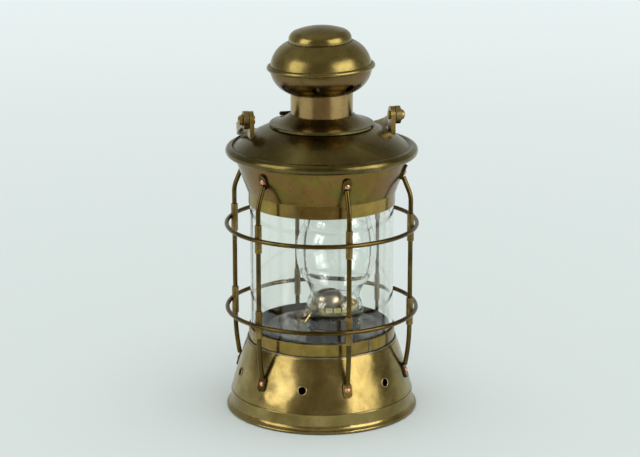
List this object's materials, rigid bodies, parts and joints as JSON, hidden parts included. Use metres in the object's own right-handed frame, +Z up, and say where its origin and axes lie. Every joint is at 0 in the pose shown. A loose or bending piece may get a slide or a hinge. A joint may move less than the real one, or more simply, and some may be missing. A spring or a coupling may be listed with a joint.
{
  "type": "ship lantern",
  "caption": "Free-standing ship lantern: round glass in a wire guard, conical base, domed roof with a hinged ventilator lid, folding bail, oil burner with chimney.",
  "frame": {"origin": "centre of the foot, on the surface that the lantern stands on", "axes": "+Z up along the lantern's axis; the lid's hinge line is parallel to X, and the bail's pivot line is 7 degrees from X; -Y is the front, and the lid's hinge and the folded bail are towards +Y"},
  "size_m": [0.1344, 0.1501, 0.2686],
  "materials": {
    "brass_base": "aged, uneven olive-gold polish",
    "brass_collar": "aged satin with green-gold tint",
    "brass_cone": "heat-tinted brown to orange",
    "brass_roof": "dark olive-brown patina",
    "brass_cap": "aged olive-gold",
    "brass_guard": "brown patina on drawn wire",
    "brass_clip": "dull brass",
    "copper_rivet": "copper rivet heads",
    "brass_bail": "grey-brown brass strip",
    "brass_hardware": "worn brass",
    "globe_glass": "clear old glass with faint smears",
    "chimney_glass": "clear thin glass",
    "tinned_font": "tarnished tinplate, glossy grey",
    "brass_plate": "dull brass",
    "brass_burner": "bright brass",
    "burner_cone": "dull heat-greyed brass",
    "burner_dark": "blackened pierced brass",
    "brass_winder": "dull brass",
    "wick_cotton": "woven cotton, charred tip"
  },
  "bodies": {
    "lantern": {"foot_band": "brass_base", "base_skirt": "brass_base", "lower_glass_collar": "brass_collar", "upper_glass_band": "brass_collar", "glass_seat_ring": "brass_collar", "glass_top_ring": "brass_collar", "cone_collar": "brass_cone", "roof": "brass_roof", "roof_rear_segment": "brass_roof", "roof_hinge_leaf": "brass_roof", "lid_hinge_pin": "brass_roof", "guard_bar_1": "brass_guard", "guard_bar_2": "brass_guard", "guard_bar_3": "brass_guard", "guard_bar_4": "brass_guard", "guard_bar_5": "brass_guard", "guard_bar_6": "brass_guard", "guard_ring_lower": "brass_guard", "guard_ring_upper": "brass_guard", "ring_clips_lower": "brass_clip", "ring_clips_upper": "brass_clip", "rivets_lower": "copper_rivet", "rivets_upper": "copper_rivet", "bail_lug_left": "brass_hardware", "bail_pin_left": "brass_hardware", "bail_washer_left": "brass_hardware", "bail_lug_right": "brass_hardware", "bail_pin_right": "brass_hardware", "bail_washer_right": "brass_hardware", "globe_glass": "globe_glass"},
    "bail": {"bail_handle": "brass_bail"},
    "lid": {"lid_flange": "brass_roof", "lid_hinge_leaf": "brass_roof", "neck_tube": "brass_cap", "cap_bowl": "brass_cap", "cap_seam": "brass_cap", "cap_dome": "brass_cap", "cap_button": "brass_cap"},
    "font": {"font_tank": "tinned_font", "font_base_plate": "brass_plate", "font_springs": "brass_plate", "burner_collar": "brass_burner", "burner_drum": "burner_dark", "burner_gallery": "brass_burner", "burner_cone": "burner_cone", "wick_tube": "burner_dark", "winder_sleeve": "brass_burner"},
    "winder": {"winder_shaft": "brass_winder", "winder_wheel": "brass_winder", "winder_sprocket": "brass_winder"},
    "wick": {"wick": "wick_cotton"},
    "chimney": {"lamp_chimney": "chimney_glass"}
  },
  "joints": [
    {"name": "bail_swing", "type": "hinge", "parent": "lantern", "child": "bail", "pos_m": [0, 0, 0.2055], "axis": [0.9925, -0.1219, 0], "range_deg": [0, 220]},
    {"name": "lid_hinge", "type": "hinge", "parent": "lantern", "child": "lid", "pos_m": [0, 0.028, 0.2039], "axis": [-1, 0, 0], "range_deg": [0, 95]},
    {"name": "font_slide", "type": "slide", "parent": "lantern", "child": "font", "axis": [0, 0, 1], "range_m": [-0.2, 0]},
    {"name": "chimney_lift", "type": "slide", "parent": "font", "child": "chimney", "axis": [0, 0, 1], "range_m": [0, 0.012]},
    {"name": "winder_turn", "type": "hinge", "parent": "font", "child": "winder", "pos_m": [0.00904, -0.00614, 0.0488], "axis": [-0.776, -0.1368, 0.6157], "range_deg": [-120, 120]},
    {"name": "wick_rise", "type": "slide", "parent": "font", "child": "wick", "axis": [0, 0, 1], "range_m": [-0.006, 0.006]}
  ],
  "couplings": [
    {"joint": "winder_turn", "follows": "wick_rise", "rad_per_m": 333.33}
  ]
}
